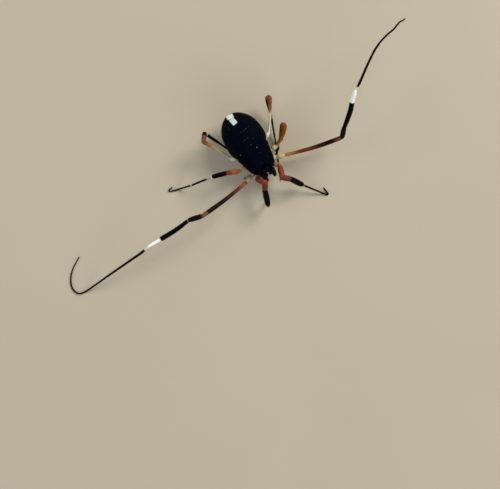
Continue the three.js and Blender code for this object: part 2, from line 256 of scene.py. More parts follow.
# Where one leg is formed unlike its fellow
OWN_THICKNESS = {
    ("left", 0, "femur"): ((0, 0.3), (0.1, 0.38), (0.35, 0.56), (0.6, 0.6), (0.85, 0.57), (1, 0.5)),
    ("left", 1, "trochanter"): ((0, 0.42), (0.35, 0.56), (0.65, 0.5), (1, 0.32)),
    ("left", 3, "trochanter"): ((0, 0.34), (0.3, 0.42), (0.6, 0.42), (1, 0.28)),
    ("left", 3, "femur"): (
        (0, 0.24), (0.06, 0.21), (0.3, 0.22), (0.5, 0.24), (0.62, 0.27), (0.75, 0.35), (0.9, 0.42),
        (0.97, 0.48), (1, 0.44),
    ),
    ("left", 3, "tibia"): ((0, 0.4), (0.1, 0.46), (0.3, 0.44), (0.6, 0.32), (1, 0.2)),
    ("right", 1, "tibia"): (
        (0, 0.36), (0.06, 0.4), (0.25, 0.46), (0.5, 0.49), (0.69, 0.48), (0.715, 0.34), (0.9, 0.3),
        (1, 0.24),
    ),
    ("right", 2, "tibia"): (
        (0, 0.4), (0.08, 0.46), (0.5, 0.48), (0.85, 0.46), (0.95, 0.4), (1, 0.3),
    ),
    ("right", 3, "patella"): ((0, 0.44), (0.35, 0.46), (0.8, 0.5), (1, 0.46)),
}

# The stance: each segment is one or more equal steps of (heading, lift) in degrees. Heading turns
# from +X towards +Y, and lift rises above the level.
STANCE = {
    "left": (
        {
            "femur": ((-111, 29),), "patella": ((-44, -20),), "tibia": ((-60, -38),),
            "metatarsus": ((-57, -21),),
            "tarsus": ((-56.5, -22), (-56, -22), (-57, -10), (87, 0), (87, 0)),
        },
        {
            "femur": ((-21, 10), (-16, 12)), "patella": ((45, 53),),
            "tibia": ((35, 42), (38, 43), (46, 43), (39, 42)),
            "metatarsus": ((26, 32), (32, 32), (32, 31), (30, 29), (28, 26), (21, 22)),
            "tarsus": (
                (11, 8), (6, -26), (16, -50), (16, -62), (8, -68), (1, -71), (10, -74), (16, -76),
            ),
        },
        {
            "femur": ((28, 29.5), (40.5, 29.5)), "patella": ((118, -74),), "tibia": ((-130, -35),),
            "metatarsus": ((-144, -6),),
            "tarsus": ((178, -38), (176, -38), (172, 0), (168, 0), (165, 0)),
        },
        {
            "femur": ((49.5, 23), (57, 22)), "patella": ((122, -75),), "tibia": ((-113, -30),),
            "metatarsus": ((-115, -16),),
            "tarsus": (*((-118, 0),) * 2, *((-117, 0),) * 3),
        },
    ),
    "right": (
        {
            "femur": ((-60, 57),), "patella": ((-127, -36),), "tibia": ((-113, -18),),
            "metatarsus": ((60, -72),),
            "tarsus": ((60, -45), (66, -22), (68, 0), (70, 0), (72, 0)),
        },
        {
            "femur": ((-175, 24), (-179, 22)), "patella": ((162, -12),),
            "tibia": ((-178, -8), (176, -8), (175, -8)),
            "metatarsus": ((-174, -18), *((179, -18),) * 5),
            "tarsus": (
                (180, -26), (179, -26), (178, -24), (178, -18), (161, -8), (109, 0),
                (72, 0), (54, 0), (40, 0), (30, 0), (24, 0),
            ),
        },
        {
            "femur": ((157, 72),), "patella": ((151, -46),), "tibia": ((158, -32),),
            "metatarsus": ((166, -28),),
            "tarsus": ((159, -42), (160, -36), (160.5, -12), (159, -6), (15, -14)),
        },
        {
            "femur": ((112, 30), (115.5, 30)), "patella": ((47, -23),), "tibia": ((-68, -36),),
            "metatarsus": ((-70, -25),),
            "tarsus": ((-30, -22), (20, -8), (60, 0), (85, 0), (95, 0)),
        },
    ),
}


def paint(red, green, blue, streaks=0.0):
    """A colour from its values on a screen, 0 to 255, and how strongly dark streaks cross it."""
    linear = [((value / 255 + 0.055) / 1.055) ** 2.4 for value in (red, green, blue)]
    return (*linear, streaks)


BONE = paint(252, 253, 248)
HAZE = paint(158, 180, 208)
IVORY = paint(238, 230, 204)
CHALK = paint(215, 200, 165)
CREAM = paint(200, 188, 160)
PALE = paint(190, 172, 132)
WHEAT = paint(205, 175, 130)
TAN = paint(178, 134, 88)
ASH_ROSE = paint(188, 148, 112)
DUN = paint(156, 120, 82)
AMBER = paint(176, 116, 54)
ORANGE = paint(150, 86, 46)
COPPER = paint(130, 76, 50)
CINNAMON = paint(134, 67, 14)
SALMON = paint(136, 70, 42)
ROSE = paint(124, 68, 50)
BRICK = paint(106, 52, 34)
RUST = paint(112, 56, 32)
SIENNA = paint(112, 54, 24, 0.5)
UMBER_RED = paint(65, 30, 25, 0.5)
OXBLOOD = paint(37, 16, 13, 0.8)
UMBER = paint(26, 16, 15)
LIVER = paint(46, 28, 24)
INK = paint(22, 11, 12)
PLUM = paint(25, 15, 23)
SOOT = paint(6, 4, 8)
COAL = paint(6, 5, 13)
NAVY = paint(0, 3, 17)

# Colours along each segment, as (share of its length, colour). The first holds from the base and
# the last to the tip.
COXA_TINTS = ((0, PALE), (0.6, CREAM))
TROCHANTER_TINTS = ((0, PALE), (0.3, WHEAT))
JAW_TINTS = ((0, INK), (0.5, SOOT), (1, UMBER))
PALP_TINTS = ((0, UMBER), (0.25, SOOT), (0.85, SOOT), (1, UMBER))
CLAW_TINTS = ((0, UMBER), (1, SOOT))
TINTS = (
    {
        "trochanter": ((0, RUST), (0.4, AMBER), (1, ORANGE)),
        "femur": ((0, ORANGE), (0.25, SALMON)),
        "patella": ((0, BRICK), (0.2, RUST), (0.8, BRICK), (1, OXBLOOD)),
        "tibia": ((0.93, COAL), (1, BRICK)),
        "metatarsus": ((0.1, COPPER), (0.18, INK)),
        "tarsus": ((0, INK), (1, UMBER)),
    },
    {
        "femur": (
            (0.1, AMBER), (0.17, ORANGE), (0.27, SIENNA), (0.42, SIENNA),
            (0.58, UMBER_RED), (0.7, OXBLOOD), (0.84, OXBLOOD), (0.89, RUST), (0.95, COPPER),
        ),
        "patella": ((0, RUST), (0.1, INK), (0.25, PLUM), (0.85, PLUM), (1, COAL)),
        "tibia": ((0.7, COAL), (0.71, BONE)),
        "metatarsus": ((0, BONE), (0.06, IVORY), (0.085, CREAM), (0.1, INK)),
        "tarsus": ((0, INK), (1, UMBER)),
    },
    {
        "femur": ((0, CREAM), (0.12, AMBER), (0.34, ORANGE), (0.55, CINNAMON)),
        "patella": ((0, CINNAMON), (0.3, ORANGE), (0.85, ORANGE), (1, RUST)),
        "tibia": ((0.93, COAL), (0.95, BONE)),
        "metatarsus": ((0.2, PALE), (0.28, INK), (0.96, INK), (1, CREAM)),
        "tarsus": ((0.02, CREAM), (0.04, INK), (1, UMBER)),
    },
    {
        "femur": (
            (0, IVORY), (0.2, CHALK), (0.45, WHEAT), (0.6, TAN), (0.75, AMBER), (0.88, ORANGE),
            (1, COPPER),
        ),
        "patella": ((0, RUST), (0.3, ORANGE), (1, RUST)),
        "tibia": ((0, COAL),),
        "metatarsus": ((0, INK),),
        "tarsus": ((0, INK), (1, UMBER)),
    },
)

# Where one leg is coloured unlike its fellow: its own markings, except the second right femur,
# whose darker tints are painted shade
OWN_TINTS = {
    ("left", 0, "trochanter"): ((0, RUST), (0.4, DUN)),
    ("left", 0, "femur"): ((0.1, DUN), (0.22, SALMON)),
    ("left", 2, "trochanter"): ((0, PALE),),
    ("left", 2, "femur"): ((0, TAN), (0.12, AMBER), (0.3, ORANGE), (0.55, CINNAMON)),
    ("left", 2, "patella"): ((0, SALMON), (0.5, RUST), (0.8, RUST), (1, OXBLOOD)),
    ("left", 3, "trochanter"): ((0, PALE), (0.4, CHALK), (1, IVORY)),
    ("left", 3, "femur"): (
        (0, IVORY), (0.3, CHALK), (0.55, CHALK), (0.62, TAN), (0.7, ORANGE), (0.88, COPPER),
    ),
    ("right", 0, "tibia"): ((0.9, COAL), (0.97, BRICK)),
    ("right", 1, "trochanter"): ((0, PALE), (0.3, ASH_ROSE)),
    # Painted shade: the second right femur is darker than the left one over its base and middle,
    # where it lies in shade
    ("right", 1, "femur"): (
        (0, RUST), (0.08, ORANGE), (0.2, RUST), (0.35, UMBER_RED), (0.6, OXBLOOD), (0.89, OXBLOOD),
        (0.925, COPPER),
    ),
    ("right", 1, "tibia"): (
        (0.01, TAN), (0.022, COAL), (0.68, COAL), (0.695, RUST), (0.71, BONE),
    ),
    ("right", 2, "femur"): ((0, CREAM), (0.15, TAN), (0.4, ORANGE)),
    ("right", 2, "patella"): ((0, ORANGE), (0.5, COPPER), (0.85, COPPER), (1, RUST)),
    ("right", 3, "trochanter"): ((0, PALE), (0.4, CHALK), (1, IVORY)),
    ("right", 3, "patella"): ((0.6, ROSE), (0.72, INK), (1, COAL)),
    ("right", 3, "tibia"): ((0.1, PALE), (0.15, COAL)),
}

# The camera, which takes the photograph's view
PHOTO_WIDTH = 500                # pixels
CAMERA_PLACE = (-5.7, -8.2)      # the point of the floor that the camera is above
CAMERA_HEIGHT = 200
IMAGE_UP = (0.577, 0.817)        # direction on the floor that points up in the picture
FOCAL_PIXELS = 1975
SENSOR_WIDTH = 36

# The stage, in metres: the floor's half width, the light from all round, and the lamps as name,
# place, width, power in watts and colour. Each lamp shines at the middle of the floor.
FLOOR_HALF_WIDTH = 0.6
WORLD_COLOUR = (0.8, 0.88, 1, 1)
WORLD_STRENGTH = 0.32
LAMPS = (
    ("key_light", (0.34, 0.06, 0.30), 0.22, 1.9, (1, 0.97, 0.92)),
    ("fill_light", (-0.30, 0.24, 0.26), 0.30, 0.7, (0.88, 0.94, 1)),
    ("front_light", (-0.05, -0.40, 0.20), 0.30, 0.6, (1, 1, 1)),
)


def node_origin():
    """The animal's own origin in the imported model, in metres, from its rear legs and rear end."""
    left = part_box("leg_4_left_coxa")[1].x
    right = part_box("leg_4_right_coxa")[0].x
    return Vector(((left + right) / 2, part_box("opisthosoma")[1].y - REAR_END * MM, 0))


ORIGIN = node_origin()


def cubic(start, start_slope, end, end_slope, t):
    """A place between start and end, at t from 0 to 1, with the slopes that the curve has there."""
    return (
        (2 * t**3 - 3 * t**2 + 1) * start + (t**3 - 2 * t**2 + t) * start_slope
        + (3 * t**2 - 2 * t**3) * end + (t**3 - t**2) * end_slope
    )


def value_at(line, where):
    """A line of (place, value) pairs at `where`, eased from each pair to the next."""
    if where <= line[0][0]:
        return line[0][1]
    for index in range(1, len(line)):
        from_place, from_value = line[index - 1]
        to_place, to_value = line[index]
        if where > to_place:
            continue
        before = line[max(index - 2, 0)]
        after = line[min(index + 1, len(line) - 1)]
        span = to_place - from_place
        start_slope = span * (to_value - before[1]) / (to_place - before[0])
        end_slope = span * (after[1] - from_value) / (after[0] - from_place)
        return cubic(from_value, start_slope, to_value, end_slope, (where - from_place) / span)
    return line[-1][1]


def round_value(line, where):
    """Like value_at, but eased on the squares, so that the form rounds off where it closes."""
    squares = [(place, value * value) for place, value in line]
    return math.sqrt(max(value_at(squares, where), 0))


def blend(first, second, share):
    """A colour between two colours."""
    return [a + (b - a) * share for a, b in zip(first, second)]


def tint_at(stops, share):
    """The colour at a share of a segment's length, from its (share, colour) stops."""
    if share <= stops[0][0]:
        return stops[0][1]
    for (from_share, from_tint), (to_share, to_tint) in zip(stops, stops[1:]):
        if share <= to_share:
            return blend(from_tint, to_tint, (share - from_share) / (to_share - from_share))
    return stops[-1][1]


def bump_near(value, places, width):
    """1 at each of the places, falling smoothly to 0 about `width` away."""
    return sum(math.exp(-(((value - place) / width) ** 2)) for place in places)


def row_place(start, end, row, rows):
    """Where a row of a closed form lies between two ends, where the rows are closer together."""
    return start + (end - start) * (1 - math.cos(math.pi * row / rows)) / 2


def globe_point(radii, angle, row, rows):
    """A point of an ellipsoid with level axes, seen from its middle."""
    polar = math.pi * row / rows
    return Vector((
        radii[0] * math.sin(polar) * math.cos(angle),
        radii[1] * math.sin(polar) * math.sin(angle),
        radii[2] * math.cos(polar)))


class Route:
    """A smooth line through points, with a steady frame at each place along it."""

    STEPS = 12

    def __init__(self, points, lowest=0.0):
        places = [Vector(point) for point in points]
        last = len(places) - 1
        self.centres = []
        for index in range(last):
            start, end = places[index], places[index + 1]
            start_slope = (end - places[max(index - 1, 0)]) / 2
            end_slope = (places[min(index + 2, last)] - start) / 2
            if last == 1:
                start_slope = end_slope = end - start
            for step in range(self.STEPS):
                self.centres.append(cubic(start, start_slope, end, end_slope, step / self.STEPS))
        self.centres.append(places[-1])
        for centre in self.centres:
            centre.z = max(centre.z, lowest)
        self.reach = [0.0]
        for start, end in zip(self.centres, self.centres[1:]):
            self.reach.append(self.reach[-1] + (end - start).length)
        self.length = self.reach[-1]
        self.frames = self.steady_frames()

    def steady_frames(self):
        """The tangent and the sideways direction at each centre, turned no more than is needed."""
        frames = []
        last = len(self.centres) - 1
        for index in range(last + 1):
            ahead = self.centres[min(index + 1, last)]
            behind = self.centres[max(index - 1, 0)]
            tangent = (ahead - behind).normalized()
            if not frames:
                across = tangent.cross(UP).normalized()
            else:
                across = frames[-1][0].rotation_difference(tangent) @ frames[-1][1]
                across = (across - tangent * across.dot(tangent)).normalized()
            frames.append((tangent, across))
        return frames

    def at(self, distance):
        """Centre, tangent, sideways and upward direction at a distance along the route."""
        inside = min(max(distance, 0.0), self.length)
        index = 0
        while index < len(self.reach) - 2 and self.reach[index + 1] < inside:
            index += 1
        t = (inside - self.reach[index]) / (self.reach[index + 1] - self.reach[index])
        centre = self.centres[index].lerp(self.centres[index + 1], t)
        tangent = self.frames[index][0].lerp(self.frames[index + 1][0], t).normalized()
        across = self.frames[index][1].lerp(self.frames[index + 1][1], t).normalized()
        return centre + tangent * (distance - inside), tangent, across, across.cross(tangent)


class Shape:
    """A mesh in the making, in millimetres, with a tint on its points and a map of its skin."""

    def __init__(self):
        self.mesh = bmesh.new()
        self.map = self.mesh.loops.layers.uv.new("Skin")
        self.tint = self.mesh.verts.layers.float_color.new("tint")

    def closed_form(self, columns, rows, place, strip=(0.0, 1.0)):
        """Adds a globe's grid with each point moved to place(angle, row), which gives its tint too.
        Row 0 is the base, and `strip` is the part of the map's height that the form takes."""
        globe = bmesh.ops.create_uvsphere(
            self.mesh, u_segments=columns, v_segments=rows, radius=1, calc_uvs=True)
        points = globe["verts"]
        for face in {face for point in points for face in point.link_faces}:
            for loop in face.loops:
                along = 1 - loop[self.map].uv.y
                loop[self.map].uv.y = strip[0] + (strip[1] - strip[0]) * along
        for point in points:
            polar = math.acos(min(max(point.co.z, -1), 1))
            angle = math.atan2(point.co.y, point.co.x)
            point.co, point[self.tint] = place(angle, round(polar / math.pi * rows))

    def finish(self, name, material, slot, replaced=()):
        """Makes the object, in metres and in place, and hides the model's parts that it stands for.
        """
        mesh = bpy.data.meshes.new(name)
        self.mesh.to_mesh(mesh)
        self.mesh.free()
        place_mesh(mesh, material, replaced)


def place_mesh(mesh, material, replaced=()):
    """Turns a mesh in the animal's millimetres into a piece that rides on the body."""
    mesh.transform(Matrix.Translation(ORIGIN) @ Matrix.Scale(MM, 4))
    mesh.shade_smooth()
    mesh.materials.append(material)
    piece = bpy.data.objects.new(mesh.name, mesh)
    bpy.context.collection.objects.link(piece)
    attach(piece, "root")
    if replaced:
        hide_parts(*replaced)


class Bristles:
    """Many fine three-sided spikes, joined in one mesh, that leave the skin and lean over it."""

    WIDTH = 0.022                # radius at the root of a bristle one millimetre long
    # Rings of the shaft as (rise off the skin, lean over it, width) and the tip as (rise, lean), in
    # shares of the length and of the width at the root
    RINGS = ((-0.15, 0.0, 1.0), (0.5, 0.3, 0.7))
    TIP = (0.72, 0.7)
    PATCH = 0.003                # size of a bristle's place on the map
    SIDES = 3
    CORNERS = ((0, 0), (1, 0), (0.5, 1)) * 2 + ((0.5, 0.5),)

    def __init__(self):
        self.points = []
        self.places = []
        self.tints = []

    def add(self, root, out, along, length, place, tint):
        """A bristle of so many millimetres; `place` is its root's place on the skin's own map."""
        side = along.cross(out).normalized()
        width = self.WIDTH * length ** 0.5
        for rise, lean, share in self.RINGS:
            centre = root + (out * rise + along * lean) * length
            for corner in range(self.SIDES):
                turn = 2 * math.pi * corner / self.SIDES
                spread = side * math.cos(turn) + along * math.sin(turn)
                self.points.append(centre + spread * width * share)
        rise, lean = self.TIP
        self.points.append(root + (out * rise + along * lean) * length)
        self.places.append(place)
        self.tints.append(tint)

    def finish(self, name, material, slot):
        """Makes the piece, with each bristle's patch on its map."""
        count = len(self.RINGS) * self.SIDES + 1
        faces = []
        for first in range(0, len(self.points), count):
            faces.append((first + 2, first + 1, first))
            for corner in range(self.SIDES):
                after = (corner + 1) % self.SIDES
                low, high = first + corner, first + self.SIDES + corner
                next_low, next_high = first + after, first + self.SIDES + after
                faces.append((low, next_low, next_high, high))
                faces.append((high, next_high, first + count - 1))
        mesh = bpy.data.meshes.new(name)
        mesh.from_pydata(self.points, [], faces)
        skin_map = mesh.uv_layers.new(name="OFBake")
        for loop in mesh.loops:
            place = self.places[loop.vertex_index // count]
            corner = self.CORNERS[loop.vertex_index % count]
            skin_map.data[loop.index].uv = [
                middle + (shift - 0.5) * self.PATCH for middle, shift in zip(place, corner)]
        tint = mesh.color_attributes.new("tint", "FLOAT_COLOR", "POINT")
        for index in range(len(self.points)):
            tint.data[index].color = self.tints[index // count]
        place_mesh(mesh, material)


def limb_point(route, thickness, distance, angle, swell=1.0):
    """A point of a round limb's skin, and the share of the limb's length where it is."""
    centre, _, across, lift = route.at(distance)
    share = min(max(distance / route.length, 0), 1)
    radius = value_at(thickness, share) / 2 * swell
    point = centre + (across * math.cos(angle) + lift * math.sin(angle)) * radius
    point.z = max(point.z, 0)
    return point, share


DOME_ROWS = 4                    # rows of points over a limb's rounded end
DOME_HEIGHT = 0.5                # its height as a share of the radius
RING_WIDTH = 0.16                # width of a neck as a share of the way to the next


def limb(shape, route, thickness, tints, strip=(0.0, 1.0), *, columns, spacing,
         ridges=0, ridge_depth=0.0, rings=0.0, ring_depth=0.0):
    """Adds a round closed limb along a route. Ridges run lengthways, and rings are necks every so
    many millimetres."""
    body_rows = max(6, math.ceil(route.length / spacing))
    stations = []
    for end, sign, width in ((0.0, -1, thickness[0][1]), (route.length, 1, thickness[-1][1])):
        reach = DOME_HEIGHT * width / 2
        curve = [
            (end + sign * reach * math.cos(math.pi / 2 * step / DOME_ROWS),
             math.sin(math.pi / 2 * step / DOME_ROWS))
            for step in range(DOME_ROWS)
        ]
        stations.append(curve if sign < 0 else curve[::-1])
    between = [(route.length * step / body_rows, 1.0) for step in range(body_rows + 1)]
    stations = stations[0] + between + stations[1]

    def place(angle, row):
        distance, swell = stations[row]
        swell *= 1 + ridge_depth * math.cos(ridges * angle)
        if rings:
            swell *= 1 - ring_depth * bump_near((distance / rings) % 1, (0, 1), RING_WIDTH)
        point, share = limb_point(route, thickness, distance, angle, swell)
        return point, tint_at(tints, share)

    shape.closed_form(columns, len(stations) - 1, place, strip)


def ball(shape, centre, radii, tint, columns, rows):
    """Adds an ellipsoid with level axes."""
    middle = Vector(centre)

    def place(angle, row):
        return middle + globe_point(radii, angle, row, rows), tint

    shape.closed_form(columns, rows, place)


def mirrored(point, side):
    """The same point on the animal's left or right."""
    return Vector((point[0] if side == "left" else -point[0], point[1], point[2]))


def on_head(point, side):
    """A point of the head, which stands a little askew, on the animal's left or right."""
    return mirrored(point, side) + Vector((value_at(LEAN, FRONT_END), 0, 0))


# Trunk

def trunk_point(lines, y, angle, swell=0.0):
    """A point of the trunk's skin at a place on Y, with cos across and sin up."""
    upper = math.sin(angle) >= 0
    belt = value_at(lines["belt"], y)
    height = round_value(lines["rise" if upper else "drop"], y)
    width = round_value(lines["half_width"], y)
    power = 2 / (BACK_FULLNESS if upper else BELLY_FULLNESS)
    across = math.copysign(abs(math.cos(angle)) ** power, math.cos(angle))
    up = math.copysign(abs(math.sin(angle)) ** power, math.sin(angle))
    out = swell - INSET
    return Vector((
        value_at(LEAN, y) + across * max(width + out, 0), y, belt + up * max(height + out, 0)))


def abdomen_swell(y, angle):
    """Creases between the plates of the back and between those of the belly."""
    bearing = math.sin(angle)
    if bearing > BELLY_BEARING:
        side = min(1, (bearing - BELLY_BEARING) / CREASE_FADE)
        return -CREASE_DEPTH * side * bump_near(y, TERGITE_BORDERS, CREASE_WIDTH)
    return -CREASE_DEPTH * bump_near(y, STERNITE_BORDERS, CREASE_WIDTH)


def carapace_swell(y, angle):
    """Two creases behind, a fine rim along the shield's edge, and a shallow furrow each side."""
    bearing = math.sin(angle)
    crease = bump_near(y, CARAPACE_BORDERS, CREASE_WIDTH) if bearing > 0 else 0
    rim = bump_near(bearing, (RIM["bearing"],), RIM["width"])
    furrow = bump_near(bearing, (FURROW["bearing"],), FURROW["width"])
    furrow *= bump_near(y, (FURROW["y"],), FURROW["length"])
    return RIM["height"] * rim - CARAPACE_CREASE * CREASE_DEPTH * crease - FURROW["depth"] * furrow


def trunk_tint(y, angle):
    """Blue-black above, a brown tinge along the shield's edge and a brown belly."""
    bearing = math.sin(angle)
    at_edge = bump_near(bearing, (0,), BROWN_EDGE["width"]) if y < WAIST else 0
    belly = min(max((BROWN_BELLY["bearing"] - bearing) / BROWN_BELLY["fade"], 0), 1)
    return blend(NAVY, LIVER, min(BROWN_EDGE["strength"] * at_edge + belly, 1))


def build_trunk_part(name, lines, start, end, swell, material, node):
    """One region of the trunk between its two rounded ends."""
    shape = Shape()
    columns, rows = 200, 170

    def place(angle, row):
        y = row_place(start, end, row, rows)
        point = trunk_point(lines, y, angle, swell(y, angle))
        point.z += sum(height * noise.noise(point * waves) for height, waves in GRAIN)
        return point, trunk_tint(y, angle)

    shape.closed_form(columns, rows, place)
    shape.finish(name, material, "shell_black", [node])


def back_place(x, y):
    """The point of the back above (x, y)."""
    lines = ABDOMEN if y > SEAM else CARAPACE
    share = (x - value_at(LEAN, y)) / round_value(lines["half_width"], y)
    return trunk_point(lines, y, math.acos(math.copysign(abs(share) ** (BACK_FULLNESS / 2), share)))


def build_genital_plate(material):
    """The long plate along the middle of the underside, between the coxae."""
    shape = Shape()
    columns, rows = 48, 40
    start, end = GENITAL_PLATE["reach"]

    def place(angle, row):
        y = row_place(start, end, row, rows)
        lines = ABDOMEN if y > WAIST else CARAPACE
        half_width = round_value(GENITAL_PLATE["half_width"], y)
        share = half_width * math.cos(angle) / round_value(lines["half_width"], y)
        below = -math.acos(math.copysign(abs(share) ** (BELLY_FULLNESS / 2), share))
        swell = GENITAL_PLATE["rise"] if math.sin(angle) < 0 else -GENITAL_PLATE["root"]
        edge = (half_width / GENITAL_PLATE["widest"]) * abs(math.sin(angle)) ** 0.5
        return trunk_point(lines, y, below, swell * edge), LIVER

    shape.closed_form(columns, rows, place)
    shape.finish("genital_plate", material, "shell_black")


def build_knobs(material):
    """Rows of fine dark knobs across the back, and the pale ones."""
    shape = Shape()
    draw = random.Random(SEED)
    stray_x, stray_y = KNOB_STRAY
    least, most = PALE_KNOB_SIZES

    def knob(x, y, size, tint):
        radii = (size, size, KNOB_HEIGHT * size)
        ball(shape, back_place(x, y), radii, tint, columns=10, rows=6)

    for y, half_width in KNOB_ROWS:
        count = int(2 * half_width / KNOB_SPACING)
        for index in range(count + 1):
            x = value_at(LEAN, y) - half_width + 2 * half_width * index / count
            knob(x + draw.uniform(-stray_x, stray_x), y + draw.uniform(-stray_y, stray_y),
                 KNOB_RADIUS * draw.uniform(*KNOB_SIZES), NAVY)
    for x, y, paleness in PALE_KNOBS:
        size = KNOB_RADIUS * (least + (most - least) * paleness)
        knob(x, y, size, blend(NAVY, HAZE, FULL_PALENESS * paleness))
    shape.finish("back_knobs", material, "shell_black")


def build_trunk_bristles(material):
    """Short scattered bristles over the back and flanks, leaning to the rear."""
    coat = Bristles()
    draw = random.Random(SEED + 1)
    for lines, start, end in TRUNK_COAT:
        area = 2 * (end - start) * value_at(lines["half_width"], (start + end) / 2)
        for _ in range(round(area * TRUNK_BRISTLES)):
            y = draw.uniform(start, end)
            angle = draw.uniform(-TRUNK_COAT_EDGE, math.pi + TRUNK_COAT_EDGE)
            root = trunk_point(lines, y, angle)
            aside = root.x - value_at(LEAN, y)
            out = Vector((aside, OUT_ALONG * y, OUT_UP * (root.z - MIDDLE_LEVEL)))
            place = (angle / (2 * math.pi) % 1, (y - start) / (end - start))
            length = draw.uniform(*TRUNK_BRISTLE_LENGTHS)
            coat.add(root, out.normalized(), REARWARDS, length, place, SOOT)
    coat.finish("trunk_bristles", material, "shell_black")


def build_ocularium(material):
    """The eye tubercle, with a furrow along its top between two rows of fine teeth."""
    shape = Shape()
    middle = on_head(OCULARIUM["centre"], "left")
    columns, rows = 36, 28
    _, deep, tall = OCULARIUM["radii"]
    far, high = TOOTH_PLACE

    def place(angle, row):
        point = globe_point(OCULARIUM["radii"], angle, row, rows)
        if point.z > 0:
            in_furrow = bump_near(point.x, (0,), OCULARIUM_FURROW["width"])
            point.z -= OCULARIUM_FURROW["depth"] * in_furrow
        return middle + point, NAVY

    shape.closed_form(columns, rows, place)
    for side in SIDES:
        for degrees in TOOTH_TURNS:
            turn = math.radians(degrees)
            root = (TOOTH_ASIDE, deep * math.sin(turn) * far, tall * math.cos(turn) * high)
            ball(shape, middle + mirrored(root, side), TOOTH_RADII, NAVY, columns=8, rows=6)
    shape.finish("ocularium_mound", material, "shell_black", ["ocularium"])


def build_eyes(material):
    """The two round eyes, one in each flank of the tubercle."""
    for side in SIDES:
        shape = Shape()
        ball(shape, on_head(EYE_CENTRE, side), (EYE_RADIUS,) * 3, COAL, columns=32, rows=20)
        shape.finish(f"{side}_eye", material, "eye", [f"eye_{side}"])


# Legs

def segment_points(start, length, steps):
    """Points of a segment that starts at `start` and takes its steps of the stance."""
    points = [Vector(start)]
    for heading, lift in steps:
        turn, rise = math.radians(heading), math.radians(lift)
        stride = Vector((
            math.cos(rise) * math.cos(turn), math.cos(rise) * math.sin(turn), math.sin(rise)))
        point = points[-1] + stride * (length / len(steps))
        point.z = max(point.z, FOOT_LEVEL)
        points.append(point)
    return points


def hooked(points):
    """The same points, but with a small open hook in place of a sharp corner, if there is one."""
    for index, (before, corner, after) in enumerate(zip(points, points[1:], points[2:]), 1):
        back, on = (before - corner).normalized(), (after - corner).normalized()
        if math.degrees(back.angle(on)) > HOOK_ANGLE:
            continue
        entry = corner + HOOK_SETBACK * back
        outlet = entry + HOOK_WIDTH * (on - back).normalized()
        crown = (entry + outlet) / 2 - HOOK_BULGE * HOOK_WIDTH * (back + on).normalized()
        tip = corner.lerp(points[-1], HOOK_REACH)
        arm = [outlet.lerp(tip, share) for share in HOOK_ARM]
        return [*points[:index], corner + HOOK_RUN_IN * back, entry, crown, *arm]
    return points


def leg_parts(side, pair):
    """A leg from the trunk out, as (segment, route)."""
    root, tip = (mirrored(point, side) for point in COXA_ENDS[pair])
    neck = tip + (root - tip).normalized() * TROCHANTER_LENGTHS[pair]
    parts = [("coxa", Route([root, neck])), ("trochanter", Route([neck, tip]))]
    for segment in SEGMENTS:
        points = segment_points(tip, LENGTHS[pair][segment], STANCE[side][pair][segment])
        parts.append((segment, Route(hooked(points), FOOT_LEVEL)))
        tip = points[-1]
    return parts


# Each segment's number of points round it, the way from one row of points to the next, its ridges
# or the way from ring to ring, and how deep these are as a share of the radius. Then its bristles:
# how many there are to a millimetre of its length, and how long they are.
FORMS = {
    "coxa": {"columns": 28, "spacing": 0.06},
    "trochanter": {"columns": 28, "spacing": 0.04},
    "femur": {"columns": 30, "spacing": 0.06, "ridges": 5, "ridge_depth": 0.02},
    "patella": {"columns": 30, "spacing": 0.05, "ridges": 5, "ridge_depth": 0.02},
    "tibia": {"columns": 30, "spacing": 0.06, "ridges": 5, "ridge_depth": 0.05},
    "metatarsus": {"columns": 16, "spacing": 0.05, "rings": 0.7, "ring_depth": 0.08},
    "tarsus": {"columns": 14, "spacing": 0.03, "rings": 0.18, "ring_depth": 0.14},
}
LEG_BRISTLES = {
    "coxa": (14, 0.08), "trochanter": (26, 0.08), "femur": (24, 0.09), "patella": (30, 0.1),
    "tibia": (34, 0.09), "metatarsus": (26, 0.09), "tarsus": (40, 0.07),
}

# What all limbs' bristles share: the shares of a segment's length between which they stand, the
# least height of a root, their lengths as shares of the usual one, and their tone as a share of
# the skin's
COAT_REACH = (0.02, 0.98)
COAT_BOTTOM = 0.12
COAT_LENGTHS = (0.7, 1.2)
COAT_TONE = 0.35
STRIP_FILL = 0.97                # share of its part of the skin's map that a segment fills


def look_of(side, pair, segment):
    """The thickness and the tints along a segment."""
    thickness = {"coxa": COXA_THICKNESS, "trochanter": TROCHANTER_THICKNESS, **THICKNESS[pair]}
    tints = {"coxa": COXA_TINTS, "trochanter": TROCHANTER_TINTS, **TINTS[pair]}
    own = (side, pair, segment)
    return OWN_THICKNESS.get(own, thickness[segment]), OWN_TINTS.get(own, tints[segment])


def strip_of(index, count):
    """The strip of the skin's map that one of so many segments takes, as its start and end."""
    return index / count, (index + STRIP_FILL) / count


def add_bristles(coat, draw, route, thickness, tints, strip, per_millimetre, length):
    """Bristles all round a limb, leaning towards its tip, in a darker tone of the skin's own."""
    for _ in range(round(route.length * per_millimetre)):
        distance = draw.uniform(*COAT_REACH) * route.length
        angle = draw.uniform(0, 2 * math.pi)
        centre, tangent, _, _ = route.at(distance)
        root, share = limb_point(route, thickness, distance, angle)
        if root.z < COAT_BOTTOM:
            continue
        out = (root - centre).normalized()
        place = (angle / (2 * math.pi), strip[0] + (strip[1] - strip[0]) * distance / route.length)
        tint = [value * COAT_TONE for value in tint_at(tints, share)]
        coat.add(root, out, tangent, length * draw.uniform(*COAT_LENGTHS), place, tint)


def build_claw(name, tip, forward, material, size):
    """A single hooked claw that leaves a limb's tip."""
    shape = Shape()
    points = [tip + forward * ahead * size - UP * below * size for ahead, below in CLAW_LINE]
    thickness = [(share, width * size) for share, width in CLAW_THICKNESS]
    limb(shape, Route(points, CLAW_LEVEL), thickness, CLAW_TINTS, columns=12, spacing=0.012)
    shape.finish(name, material, "leg_black")


